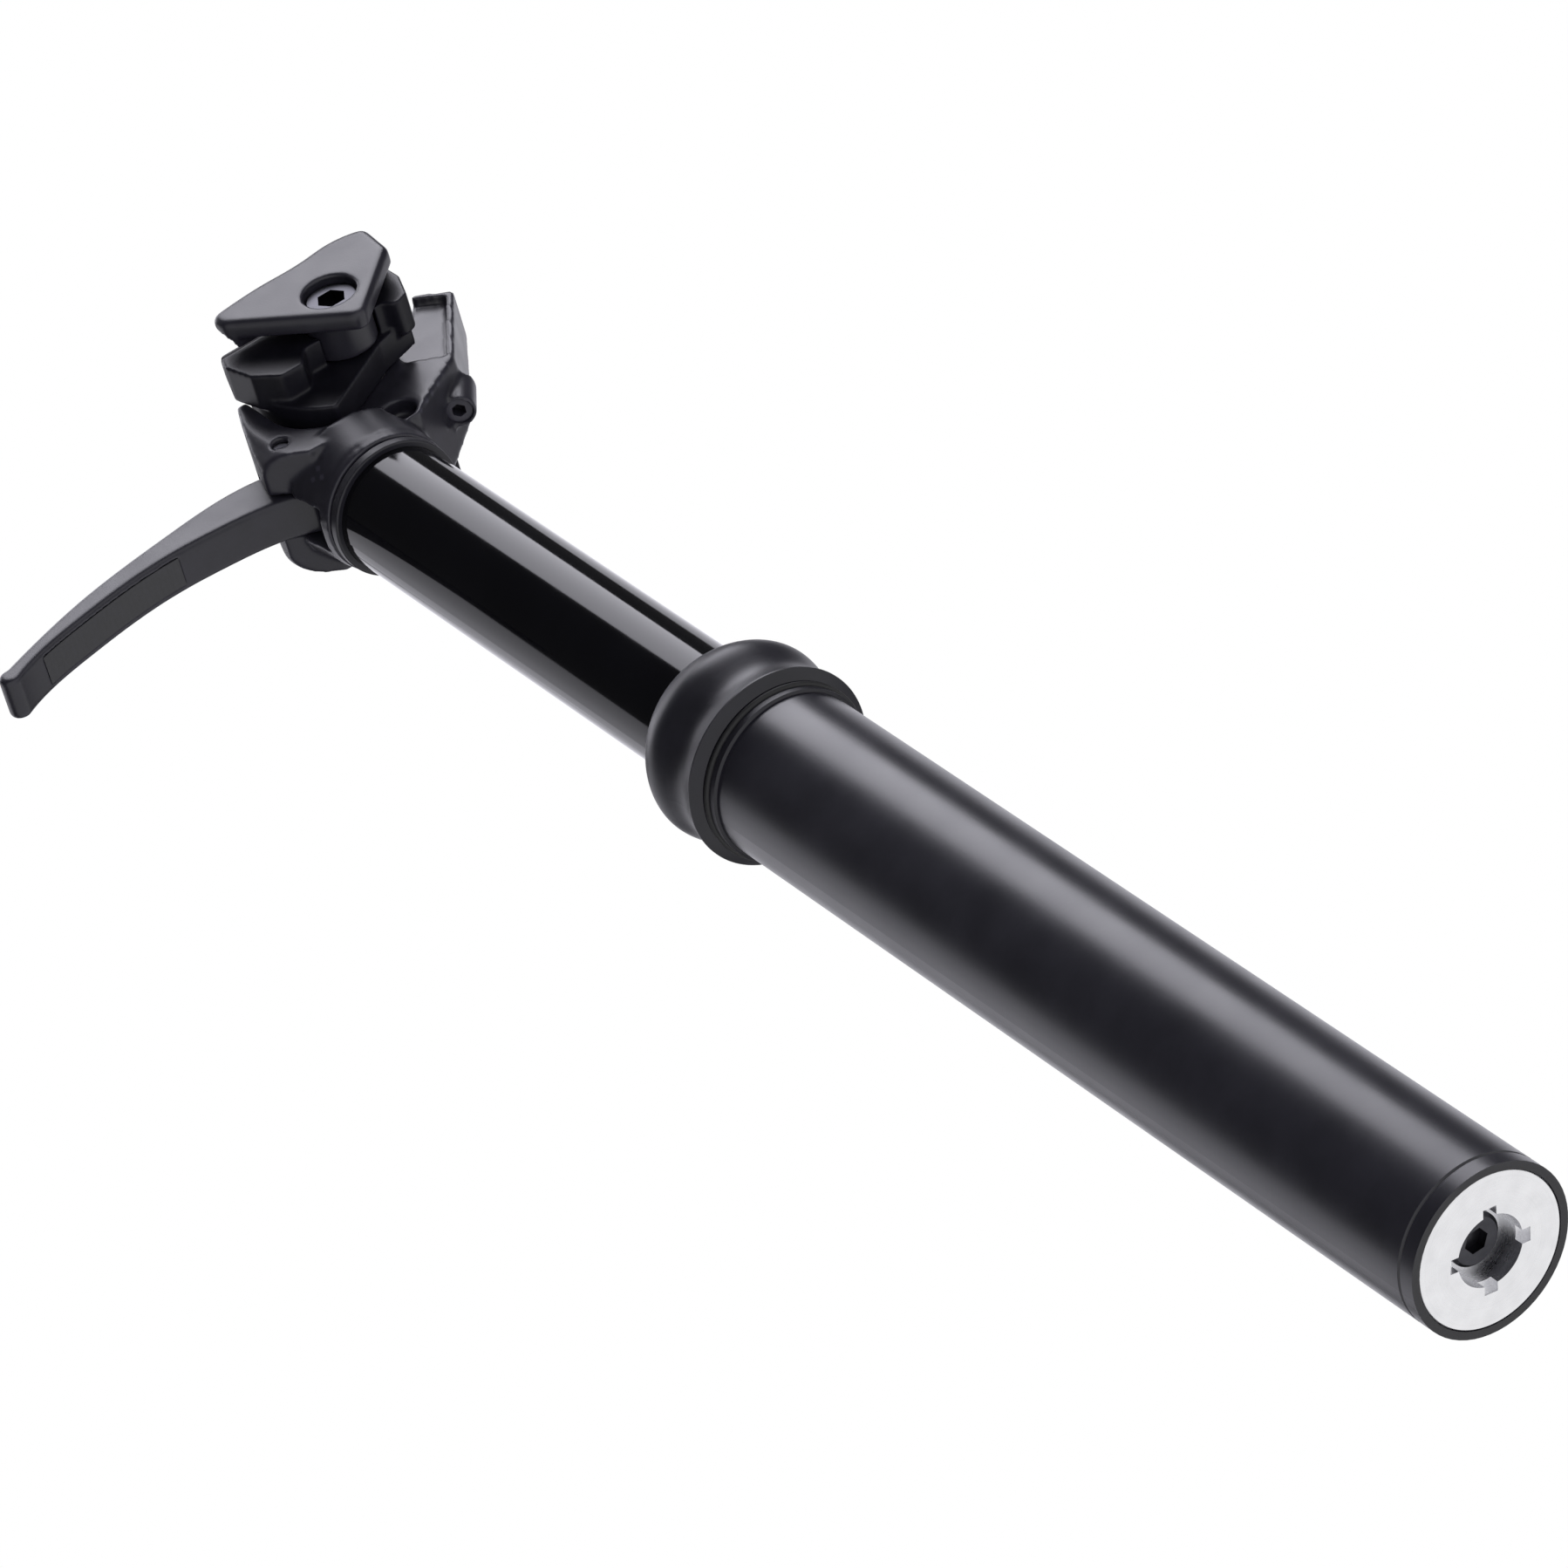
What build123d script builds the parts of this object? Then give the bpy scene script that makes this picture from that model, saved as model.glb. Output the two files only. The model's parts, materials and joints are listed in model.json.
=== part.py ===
from build123d import *
from math import cos, hypot, radians, sin
import os

# Dropper seatpost, standing upright, millimetres.
# The origin is on the post's axis at the lower end of the outer tube.
# +Z runs up the axis, +X towards the saddle nose and the lever, +Y to the rider's left.

overrun = 4.0  # how far a cutting tool reaches past what it cuts
slide_clearance = 0.05  # radial gap of sliding and turning fits
seat_clearance = 0.03  # radial gap of seated rings and bonded joints
thread_clearance = 0.05  # radial gap of threads, which are plain
travel = 100.0  # drop of the saddle

# Outer tube
tube_d = 30.9
tube_bore_d = 27.2
tube_thread_d = 30.3  # under the collar and its ring
cap_seat_d = 28.0
cap_seat_depth = 10.0
tube_line_z = 3.4  # turned line near the lower end
tube_line_w = 0.7
tube_line_depth = 0.3
keyway_w = 3.1
keyway_depth = 0.75
keyway_gap = 3.0  # keyway past the keys at each end of their travel
key_count = 3

# Bottom cap, its screw, seal and bumper
cap_spigot_len = 4.5
cap_recess_d = 12.8
cap_recess_depth = 3.6
cap_edge_chamfer = 0.3
notch_count = 4
notch_w = 2.6
notch_reach = 1.5
notch_depth = 1.8
notch_turn_deg = 12.0
cap_groove_w = 2.0
cap_groove_depth = 1.25
screw_head_d = 9.6
screw_head_h = 2.6
screw_head_chamfer = 0.6
screw_socket_af = 4.0
screw_socket_depth = 1.8
screw_shank_d = 5.0
screw_len = 16.0
bumper_h = 5.5
bumper_bore_d = 11.0
bumper_d = 18.0
bumper_gap = 2.0  # left under the stanchion when it is all the way down

# Collar on the outer tube's upper end
tube_in_collar = 12.0  # end of the tube past the lip's lower face
lip_h = 1.7
lip_d = 32.2
lip_edge = 0.4
gap_h = 1.3  # black ring between the lip and the collar
collar_low_d = 33.2
ridge_d = 36.9
ridge_rise = 1.5
ridge_h = 0.3
waist_d = 34.6
waist_rise = 6.6
rim_wall = 3.08  # how far the rim stands out past the tube
rim_rise = 13.5
collar_brow_share = 0.07  # drop of the dome two thirds of the way from rim to mouth
collar_h = 20.6
collar_mouth_d = 25.8
collar_pocket_d = 28.6
collar_pocket_h = 10.0
wiper_h = 9.0
wiper_lip_h = 0.7
wiper_lip_d = 25.4

# Stanchion
stanchion_d = 24.2
stanchion_bore_d = 20.0
stanchion_in_neck = 5.2
upper_bushing_h = 34.0
upper_bushing_drop = 11.0  # top of the bushing below the tube's upper end
bushing_apart = 6.0  # between the keys and the upper bushing, all the way up
lower_bushing_h = 15.0
lower_bushing_inset = 1.5
bushing_groove_depth = 0.5
key_h = 12.0
key_gap = 3.5  # between the lower bushing and the keys
key_w = 3.0
key_pocket_depth = 0.8
key_reach = 2.2  # how far a key stands out of the stanchion

# Gas cartridge
nut_h = 6.2
nut_inset = 0.5
nut_bore_d = 12.0
cartridge_drop = 24.9  # cartridge's upper end below the stanchion's
cartridge_bore_d = 17.2
cartridge_plug_h = 23.0
cartridge_cap_h = 4.0
spring_pocket_d = 8.0
spring_pocket_h = 11.0
gland_h = 10.0
gland_inset = 1.0
gland_seal_h = 2.0
gland_seal_w = 1.55
topout_h = 8.6
topout_d = 14.0
rod_d = 8.0
rod_z0 = 9.0
rod_stub_d = 5.0
rod_socket_len = 13.0
piston_gap = 0.2
piston_h = 10.0
piston_ring_h = 2.4
piston_ring_depth = 1.3
piston_nut_d = 9.0
piston_nut_h = 4.0
floating_gap = 4.0  # left above the floating piston when the post is all the way down
floating_h = 10.0
floating_cup_depth = 4.0
floating_cup_d = 9.0

# Actuator pin and its disc springs
pin_d = 4.0
pin_tail = 8.0
pin_shoulder_d = 6.8
pin_shoulder_h = 2.3
pin_rise = 2.4  # pin tip above the slot's floor
disc_count = 6
disc_w = 0.8
disc_play = 0.3

# Head: neck and socket. Heights called rise are above the neck's lower edge.
top_gap = 3.3  # left between the wiper and the bump ring when the post is all the way down
bump_ring_h = 2.1
bump_ring_d = 26.6
bump_ring_gap = 0.4
bump_ring_round = 0.4
neck_low_d = 27.3
neck_ring_h = 1.5
neck_groove_d = 26.6
neck_groove_h = 0.6
neck_d = 27.8
neck_top_d = 29.6
neck_rise = 10.9

# Head: clamp axis
clamp_x = -13.2
clamp_rise = 28.6
hub_r = 8.8
nut_d = 12.0

# Head: front cheeks
cheek_half = 13.6
cheek_top_rise = 32.5
cheek_wall = 2.0
cheek_inner_x = 7.7
cheek_step_rise = 21.0
cheek_nose_x = 16.4
cheek_nose_rise = 14.6
cheek_heel_x = -3.0
cheek_chin_x = 9.0
cheek_bottom_rise = 7.9
cheek_corner_r = 5.0  # in plan
cheek_round = 0.8
pivot_x = 10.9
pivot_rise = 15.4
slot_half = 4.6
slot_back_x = -4.8
slot_tail_top_rise = 15.0
slot_top_rise = 27.0
slot_front_x = 2.0
slot_mouth_x = 11.6
slot_mouth_rise = 2.7

# Head: rear arm and foot
arm_half = 9.5
arm_root_x = -13.6
arm_root_rise = 6.8
arm_knee_x = -29.6
arm_knee_rise = 20.1
arm_end_x = -43.0
arm_end_rise = 41.5
arm_tip_x = -36.5
arm_tip_rise = 45.9
arm_back_x = -25.4
arm_back_rise = 33.4
arm_wide_x = -16.5  # where the arm starts to narrow
arm_knee_half = 7.2
arm_end_half = 4.8
scoop_depth = 1.8
scoop_wall = 1.5
scoop_start_share = 0.04  # of the way from the knee to the arm's end
foot_r = 3.3
foot_len = 9.0
foot_x = -24.4
foot_rise = 13.8
foot_angle_deg = 57.0
cross_hole_d = 6.5
cross_hole_x = -11.8
cross_hole_rise = 11.0
cross_hole_depth = 3.4
tilt_screw_d = 5.0
tilt_screw_len = 6.0
tilt_socket_af = 2.5
tilt_socket_depth = 2.4
tilt_screw_inset = 0.8

# Lever
lever_w = 8.7
lever_tip_x = 79.8
lever_root_r = 6.1
lever_bore_d = 3.0
lever_round = 0.9
lever_crown = 7.8  # highest line of the lever above its pivot
tail_x = -2.2
tail_h = 3.4
tail_gap = 0.1
pad_w = 6.0
pad_t = 0.9
pad_x0 = 37.0
pad_x1 = 70.0
pad_gap = 0.03

# Along the lever, from the pivot to the tip: place as a share of its length, height as one of its crown
lever_top_shares = [(0.07, 0.94), (0.19, 1.00), (0.34, 0.86), (0.49, 0.66), (0.65, 0.37), (0.82, -0.10),
                    (0.96, -0.58)]
lever_bottom_shares = [(0.96, -1.14), (0.83, -0.64), (0.71, -0.38), (0.56, -0.13), (0.38, -0.02),
                       (0.25, -0.11), (0.12, -0.30)]
lever_nose_share = -0.88  # height of the tip's point

# Rails and the clamp round them. Places are measured from the clamp axis.
rail_d = 7.0
rail_spacing = 44.0
rail_rise = 11.0
clamp_mid = 1.2  # middle of the plates and cradles ahead of the clamp axis
clamp_half_len = 22.2  # the plates and cradles lie within this of their middle
rail_clearance = 0.05
split_gap = 0.3
cradle_inner_y = 9.8
cradle_hub_y = 16.0
cradle_body_y = 14.0
cradle_hub_r = 6.4
cradle_top_gap = 1.6  # cradle top below the rail's top
cradle_lobes = [(22.5, 4.4), (21.0, -2.4), (17.0, -7.2), (12.4, -7.2), (9.6, -3.2), (-8.0, -3.2),
                (-9.8, -5.6), (-12.9, -4.2), (-15.3, 2.2)]
sled_r = 20.1  # inner quarter of the cradle, which sits over the head's dish
sled_rim = [(21.0, -15.9), (12.4, -15.9), (-4.0, -5.6), (-12.6, -2.5)]
cradle_top_front = 19.4
cradle_top_rear = -14.8
cradle_corner_r = 1.4
cradle_edge_round = 0.6
boss_r = 6.4
boss_clearance = 0.3
boss_gap = 0.3
plate_y0 = 24.2
plate_y1 = 28.0
plate_rear_top = (-16.1, 12.4)
plate_rear_low = (-15.3, 3.2)
plate_vertex = (0.2, -12.0)
plate_front_low = (18.9, 8.4)
plate_front_top = (19.2, 12.3)
plate_crown = [(-11.0, 14.2), (-7.5, 14.4), (-3.0, 13.8), (1.5, 13.5), (6.0, 13.6), (12.0, 13.3)]
plate_corner_r = 2.2
plate_round = 1.3
jaw_low_gap = 4.2  # jaw's lower side below the rail's axis
bolt_d = 6.0
bolt_head_d = 10.0
bolt_head_h = 5.6
bolt_head_sink = 1.7
bolt_head_round = 0.4
bolt_socket_af = 5.0
bolt_socket_depth = 3.0
bolt_end_gap = 1.0
bolt_hole_clearance = 0.15
washer_t = 0.8
counterbore_clearance = 0.15

# Radii and places that follow from the sizes above
tube_r = tube_d / 2
thread_r = tube_thread_d / 2
bore_r = tube_bore_d / 2
stanchion_r = stanchion_d / 2
stanchion_bore_r = stanchion_bore_d / 2
cartridge_bore_r = cartridge_bore_d / 2
rail_r = rail_d / 2
rail_y = rail_spacing / 2
rim_d = tube_d + 2 * rim_wall
stanchion_z0 = cap_seat_depth + cap_spigot_len + bumper_h + bumper_gap + travel
lower_bushing_z = stanchion_z0 + lower_bushing_inset
key_z = lower_bushing_z + lower_bushing_h + key_gap
upper_bushing_z = key_z + key_h + bushing_apart
tube_len = upper_bushing_z + upper_bushing_h + upper_bushing_drop
lip_z = tube_len - tube_in_collar
collar_z = lip_z + lip_h + gap_h
collar_top_z = collar_z + collar_h
neck_z = collar_top_z + wiper_lip_h + top_gap + travel + bump_ring_h + bump_ring_gap
stanchion_z1 = neck_z + stanchion_in_neck
cartridge_z0 = stanchion_z0 + nut_inset + nut_h
cartridge_z1 = stanchion_z1 - cartridge_drop
gland_z = cartridge_z0 + gland_inset
piston_z = gland_z + gland_h + topout_h + piston_gap
rod_share = (rod_d / cartridge_bore_d) ** 2  # floating piston's stroke over the post's
floating_z = (cartridge_z1 - cartridge_plug_h - floating_gap - floating_h - travel * rod_share)
slot_floor_z = stanchion_z1 + seat_clearance
spigot_z = cartridge_z1 + cartridge_cap_h
pin_top_z = slot_floor_z + pin_rise
pin_shoulder_z = cartridge_z1 - seat_clearance - pin_shoulder_h
clamp_z = neck_z + clamp_rise
pivot_z = neck_z + pivot_rise
lever_len = lever_tip_x - pivot_x
rail_z = clamp_z + rail_rise
rail_x = clamp_x + clamp_mid


def at(x, z):
    return Vector(x, 0, z)


def slab(outline, y_low, y_high):
    face = make_face(outline).moved(Location((0, y_low, 0)))
    return extrude(face, amount=y_high - y_low, dir=(0, 1, 0))


def polygon(points):
    return Polyline(*[at(x, z) for x, z in points], close=True)


def turned(points):
    return revolve(make_face(polygon(points)), axis=Axis.Z)


def ring(r_in, r_out, z_low, z_high):
    return turned([(r_in, z_low), (r_out, z_low), (r_out, z_high), (r_in, z_high)])


def rod(r, z_low, z_high):
    return Location((0, 0, (z_low + z_high) / 2)) * Cylinder(r, z_high - z_low)


def cross_rod(r, x, z, y_low, y_high):
    return Location((x, (y_low + y_high) / 2, z), (90, 0, 0)) * Cylinder(r, y_high - y_low)


def block(x_low, x_high, y_half, z_low, z_high):
    size = Box(x_high - x_low, 2 * y_half, z_high - z_low)
    return Location(((x_low + x_high) / 2, 0, (z_low + z_high) / 2)) * size


def hexagon(across_flats, depth):
    return extrude(RegularPolygon(across_flats / 2, 6, major_radius=False), amount=depth)


def round_ring(r_mid, wire_r, z_mid):
    section = Location((r_mid, 0, z_mid)) * (Plane.XZ * Circle(wire_r))
    return revolve(section, axis=Axis.Z)


def around(shape, count, turn=0.0):
    copies = [Rot(0, 0, turn + k * 360 / count) * shape for k in range(count)]
    return copies


def key_bar(width, r_low, r_high, z_low, z_high):
    bar = Box(r_high - r_low, width, z_high - z_low)
    return Location(((r_low + r_high) / 2, 0, (z_low + z_high) / 2)) * bar


def outer_tube():
    body = turned([
        (cap_seat_d / 2, 0),
        (tube_r, 0),
        (tube_r, tube_line_z - tube_line_w / 2),
        (tube_r - tube_line_depth, tube_line_z),
        (tube_r, tube_line_z + tube_line_w / 2),
        (tube_r, lip_z),
        (thread_r, lip_z),
        (thread_r, tube_len),
        (bore_r, tube_len),
        (bore_r, cap_seat_depth),
        (cap_seat_d / 2, cap_seat_depth),
    ])
    keyway = key_bar(keyway_w, 0, bore_r + keyway_depth, key_z - travel - keyway_gap,
                     key_z + key_h + keyway_gap)
    for cut in around(keyway, key_count, 90):
        body -= cut
    return body


def bottom_cap():
    r = cap_seat_d / 2 - seat_clearance
    spigot_r = bore_r - slide_clearance
    top = cap_seat_depth + cap_spigot_len
    groove_z = cap_seat_depth + (cap_spigot_len - cap_groove_w) / 2
    body = turned([
        (0, 0),
        (r - cap_edge_chamfer, 0),
        (r, cap_edge_chamfer),
        (r, cap_seat_depth),
        (spigot_r, cap_seat_depth),
        (spigot_r, groove_z),
        (spigot_r - cap_groove_depth, groove_z),
        (spigot_r - cap_groove_depth, groove_z + cap_groove_w),
        (spigot_r, groove_z + cap_groove_w),
        (spigot_r, top),
        (0, top),
    ])
    floor_z = cap_recess_depth + screw_head_h
    body -= rod(cap_recess_d / 2, -overrun, floor_z)
    body -= rod(screw_shank_d / 2 + thread_clearance, floor_z - overrun, rod_z0)
    body -= rod(rod_d / 2 + seat_clearance, rod_z0, top + overrun)
    reach = cap_recess_d / 2 + notch_reach
    notch = Box(reach, notch_w, notch_depth + overrun)
    notch = Location((reach / 2, 0, (notch_depth - overrun) / 2)) * notch
    for cut in around(notch, notch_count, notch_turn_deg):
        body -= cut
    return body


def cap_oring():
    spigot_r = bore_r - slide_clearance
    wire_r = (cap_groove_depth + slide_clearance) / 2 - seat_clearance
    groove_mid = cap_seat_depth + cap_spigot_len / 2
    return round_ring(spigot_r - cap_groove_depth + seat_clearance + wire_r, wire_r, groove_mid)


def bottom_screw():
    head_z = cap_recess_depth
    body = turned([
        (0, head_z),
        (screw_head_d / 2 - screw_head_chamfer, head_z),
        (screw_head_d / 2, head_z + screw_head_chamfer),
        (screw_head_d / 2, head_z + screw_head_h),
        (screw_shank_d / 2, head_z + screw_head_h),
        (screw_shank_d / 2, head_z + screw_len),
        (0, head_z + screw_len),
    ])
    socket = hexagon(screw_socket_af, screw_socket_depth + overrun)
    return body - Location((0, 0, head_z - overrun)) * socket


def end_bumper():
    z = cap_seat_depth + cap_spigot_len
    return ring(bumper_bore_d / 2, bumper_d / 2, z, z + bumper_h)


def collar_ring():
    inner = thread_r + seat_clearance
    return turned([
        (inner, lip_z),
        (lip_d / 2 - lip_edge, lip_z),
        (lip_d / 2, lip_z + lip_edge),
        (lip_d / 2, lip_z + lip_h),
        (inner, lip_z + lip_h),
    ])


def collar_oring():
    wire_r = gap_h / 2 - seat_clearance
    return round_ring(tube_r + seat_clearance + wire_r, wire_r, lip_z + lip_h + gap_h / 2)


def collar():
    mouth_r = collar_mouth_d / 2
    ridge_z = collar_z + ridge_rise
    waist_z = collar_z + waist_rise
    rim_z = collar_z + rim_rise
    outside = [
        Polyline(
            at(thread_r + thread_clearance, collar_z),
            at(collar_low_d / 2, collar_z),
            at(ridge_d / 2, ridge_z),
            at(ridge_d / 2, ridge_z + ridge_h),
        ),
        Spline(
            at(ridge_d / 2, ridge_z + ridge_h),
            at(waist_d / 2, waist_z),
            at(rim_d / 2, rim_z),
            at((rim_d / 2 + 2 * mouth_r) / 3, collar_top_z - (collar_h - rim_rise) * collar_brow_share),
            at(mouth_r, collar_top_z),
            tangents=[at(waist_d - ridge_d, waist_z - ridge_z), at(mouth_r - rim_d / 2, 0)],
        ),
    ]
    pocket_z = tube_len
    inside = Polyline(
        at(mouth_r, collar_top_z),
        at(mouth_r, pocket_z + collar_pocket_h),
        at(collar_pocket_d / 2, pocket_z + collar_pocket_h),
        at(collar_pocket_d / 2, pocket_z),
        at(thread_r + thread_clearance, pocket_z),
        at(thread_r + thread_clearance, collar_z),
    )
    return revolve(make_face(outside + [inside]), axis=Axis.Z)


def wiper_seal():
    inner = stanchion_r + slide_clearance
    outer = collar_pocket_d / 2 - seat_clearance
    z1 = tube_len + collar_pocket_h
    z0 = z1 - wiper_h
    lip_r = wiper_lip_d / 2
    top = collar_top_z + wiper_lip_h
    return turned([(inner, z0), (outer, z0), (outer, z1), (lip_r, z1), (lip_r, collar_top_z),
                   (inner, top)])


def upper_bushing():
    inner = stanchion_r + slide_clearance
    return ring(inner, bore_r - seat_clearance, upper_bushing_z, upper_bushing_z + upper_bushing_h)


def stanchion():
    body = ring(stanchion_bore_r, stanchion_r, stanchion_z0, stanchion_z1)
    groove_r = stanchion_r - bushing_groove_depth
    body -= ring(groove_r, stanchion_r + overrun, lower_bushing_z, lower_bushing_z + lower_bushing_h)
    pocket = key_bar(key_w + 2 * seat_clearance, stanchion_r - key_pocket_depth,
                     stanchion_r + overrun, key_z, key_z + key_h)
    for cut in around(pocket, key_count, 90):
        body -= cut
    return body


def lower_bushing():
    inner = stanchion_r - bushing_groove_depth + seat_clearance
    z0 = lower_bushing_z + seat_clearance
    z1 = lower_bushing_z + lower_bushing_h - seat_clearance
    return ring(inner, bore_r - slide_clearance, z0, z1)


def guide_keys():
    key = key_bar(key_w, stanchion_r - key_pocket_depth, stanchion_r + key_reach,
                  key_z + seat_clearance, key_z + key_h - seat_clearance)
    return Compound(children=around(key, key_count, 90))


def cartridge_nut():
    z0 = stanchion_z0 + nut_inset
    return ring(nut_bore_d / 2, stanchion_bore_r - thread_clearance, z0, z0 + nut_h)


def cartridge_body():
    outer = stanchion_bore_r - seat_clearance
    plug_z = cartridge_z1 - cartridge_plug_h
    body = rod(outer, cartridge_z0, cartridge_z1)
    body -= rod(cartridge_bore_r, cartridge_z0 - overrun, plug_z)
    body -= rod(pin_d / 2 + slide_clearance, plug_z - overrun, cartridge_z1 + overrun)
    body -= rod(spring_pocket_d / 2, cartridge_z1 - spring_pocket_h, cartridge_z1 + overrun)
    return body


def cartridge_cap():
    outer = stanchion_bore_r - seat_clearance
    return ring(pin_d / 2 + slide_clearance, outer, cartridge_z1, cartridge_z1 + cartridge_cap_h)


def gland():
    seal_z = gland_z + (gland_h - gland_seal_h) / 2
    hole_r = rod_d / 2 + slide_clearance
    body = ring(hole_r, cartridge_bore_r - seat_clearance, gland_z, gland_z + gland_h)
    body -= ring(hole_r - slide_clearance, hole_r + gland_seal_w, seal_z, seal_z + gland_seal_h)
    return body


def gland_seal():
    seal_z = gland_z + (gland_h - gland_seal_h) / 2
    hole_r = rod_d / 2 + slide_clearance
    return ring(hole_r, hole_r + gland_seal_w - seat_clearance,
                seal_z + seat_clearance, seal_z + gland_seal_h - seat_clearance)


def topout_bumper():
    z0 = gland_z + gland_h
    return ring(rod_d / 2 + 2 * slide_clearance, topout_d / 2, z0, z0 + topout_h)


def cartridge_rod():
    body = rod(rod_d / 2, rod_z0, piston_z)
    body += rod(rod_stub_d / 2, piston_z, piston_z + piston_h + piston_nut_h)
    body -= rod(screw_shank_d / 2 + thread_clearance, rod_z0 - overrun, rod_z0 + rod_socket_len)
    return body


def piston():
    outer = cartridge_bore_r - slide_clearance
    ring_z = piston_z + (piston_h - piston_ring_h) / 2
    body = ring(rod_stub_d / 2 + seat_clearance, outer, piston_z, piston_z + piston_h)
    body -= ring(outer - piston_ring_depth, outer + overrun, ring_z, ring_z + piston_ring_h)
    return body


def piston_ring():
    outer = cartridge_bore_r - slide_clearance
    ring_z = piston_z + (piston_h - piston_ring_h) / 2
    return ring(outer - piston_ring_depth + seat_clearance, outer,
                ring_z + seat_clearance, ring_z + piston_ring_h - seat_clearance)


def piston_nut():
    nut = hexagon(piston_nut_d, piston_nut_h) - rod(rod_stub_d / 2 + thread_clearance,
                                                    -overrun, piston_nut_h + overrun)
    return Location((0, 0, piston_z + piston_h)) * nut


def floating_piston():
    outer = cartridge_bore_r - slide_clearance
    ring_z = floating_z + (floating_h - piston_ring_h) / 2
    body = rod(outer, floating_z, floating_z + floating_h)
    body -= ring(outer - piston_ring_depth, outer + overrun, ring_z, ring_z + piston_ring_h)
    cup_z = floating_z + floating_h - floating_cup_depth
    body -= rod(floating_cup_d / 2, cup_z, floating_z + floating_h + overrun)
    return body


def floating_seal():
    outer = cartridge_bore_r - slide_clearance
    ring_z = floating_z + (floating_h - piston_ring_h) / 2
    return ring(outer - piston_ring_depth + seat_clearance, outer,
                ring_z + seat_clearance, ring_z + piston_ring_h - seat_clearance)


def actuator_pin():
    body = rod(pin_d / 2, cartridge_z1 - spring_pocket_h - pin_tail, pin_top_z - pin_d / 2)
    body += Location((0, 0, pin_top_z - pin_d / 2)) * Sphere(pin_d / 2)
    body += rod(pin_shoulder_d / 2, pin_shoulder_z, pin_shoulder_z + pin_shoulder_h)
    return body


def disc_springs():
    floor_z = cartridge_z1 - spring_pocket_h
    room = pin_shoulder_z - floor_z - disc_play
    pitch = room / disc_count
    inner = pin_d / 2 + 2 * slide_clearance
    outer = spring_pocket_d / 2 - 2 * slide_clearance
    cone = pitch - disc_w
    discs = []
    for k in range(disc_count):
        z = floor_z + k * pitch
        low, high = (z, z + cone) if k % 2 == 0 else (z + cone, z)
        discs.append(turned([(inner, high), (outer, low), (outer, low + disc_w), (inner, high + disc_w)]))
    return Compound(children=discs)


def bump_ring():
    z1 = neck_z - bump_ring_gap
    body = ring(stanchion_r + seat_clearance, bump_ring_d / 2, z1 - bump_ring_h, z1)
    rims = [e for e in body.edges().filter_by(GeomType.CIRCLE) if e.radius > stanchion_r + bump_ring_gap]
    return fillet(rims, bump_ring_round)


def neck():
    floor_z = neck_z + neck_rise
    ring_z = neck_z + neck_ring_h
    groove_z = ring_z + neck_groove_h
    wall = [
        Polyline(
            at(0, floor_z),
            at(0, neck_z),
            at(neck_low_d / 2, neck_z),
            at(neck_low_d / 2, ring_z),
            at(neck_groove_d / 2, ring_z),
            at(neck_groove_d / 2, groove_z),
            at(neck_d / 2, groove_z),
        ),
        ThreePointArc(
            at(neck_d / 2, groove_z),
            at((3 * neck_d + neck_top_d) / 8, (groove_z + floor_z) / 2),
            at(neck_top_d / 2, floor_z),
        ),
        Line(at(neck_top_d / 2, floor_z), at(0, floor_z)),
    ]
    body = revolve(make_face(wall), axis=Axis.Z)
    body += rod(stanchion_bore_r - seat_clearance, spigot_z, neck_z)
    return body


def raised(x, rise):
    return at(x, neck_z + rise)


def front_cheeks():
    crest_x = cheek_inner_x + cheek_wall
    crest = raised(crest_x, cheek_top_rise)
    nose = raised(cheek_nose_x, cheek_nose_rise)
    step = raised(cheek_inner_x, cheek_step_rise)
    heel = raised(cheek_heel_x, neck_rise)
    outline = [
        Line(raised(cheek_inner_x, cheek_top_rise), crest),
        ThreePointArc(
            crest,
            raised((crest_x + cheek_nose_x + cheek_wall / 2) / 2, (cheek_top_rise + cheek_nose_rise) / 2),
            nose,
        ),
        Line(nose, raised(cheek_chin_x, cheek_bottom_rise)),
        Line(raised(cheek_chin_x, cheek_bottom_rise), raised(cheek_heel_x, cheek_bottom_rise)),
        Line(raised(cheek_heel_x, cheek_bottom_rise), heel),
        ThreePointArc(
            heel,
            raised(cheek_inner_x - 2 * cheek_wall, (neck_rise + cheek_nose_rise + cheek_wall) / 2),
            step,
        ),
        Line(step, raised(cheek_inner_x, cheek_top_rise)),
    ]
    plan = Rectangle(2 * (cheek_nose_x - cheek_heel_x), 2 * cheek_half)
    plan = fillet(plan.vertices(), cheek_corner_r)
    plan = Location((cheek_heel_x, 0, neck_z)) * extrude(plan, amount=2 * cheek_top_rise)
    body = slab(outline, -cheek_half, cheek_half) & plan
    crest_edges = [e for e in body.edges() if e.center().Z > neck_z + cheek_top_rise - slide_clearance]
    return fillet(crest_edges, cheek_round)


def arm_plan(inset):
    """The arm's width from above, narrowed by an inset on each side."""
    sides = [
        (cheek_nose_x, arm_half - inset),
        (arm_wide_x, arm_half - inset),
        (arm_knee_x, arm_knee_half - inset),
        (arm_end_x - overrun, arm_end_half - inset),
    ]
    back = [(x, -y) for x, y in reversed(sides)]
    outline = Polyline(*[Vector(x, y, neck_z) for x, y in sides + back], close=True)
    return extrude(make_face(outline), amount=2 * arm_tip_rise, dir=(0, 0, 1))


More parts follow.
